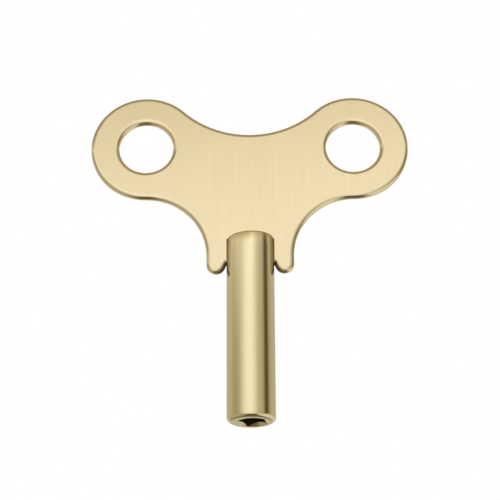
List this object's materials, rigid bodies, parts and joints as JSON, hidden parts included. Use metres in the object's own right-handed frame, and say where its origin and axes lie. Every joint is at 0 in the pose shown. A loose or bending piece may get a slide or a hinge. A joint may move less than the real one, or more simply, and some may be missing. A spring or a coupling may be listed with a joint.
{
  "type": "radiator bleed key",
  "caption": "Butterfly radiator bleed key: a flat two-lobed brass bow with finger holes, set in the slotted top of a turned barrel with a square socket.",
  "frame": {"origin": "centre of the barrel's lower end face, where the square socket opens", "axes": "+Z along the barrel from the socket towards the bow, X across the bow from lobe to lobe, -Y towards the bow's front"},
  "size_m": [0.0784, 0.0116, 0.0837],
  "materials": {
    "bow_brass": "satin, fine vertical brushing on both faces, softly rounded edges",
    "barrel_brass": "turned and polished, slightly satin"
  },
  "bodies": {
    "root": {"bow_plate": "bow_brass", "barrel": "barrel_brass"}
  },
  "joints": []
}
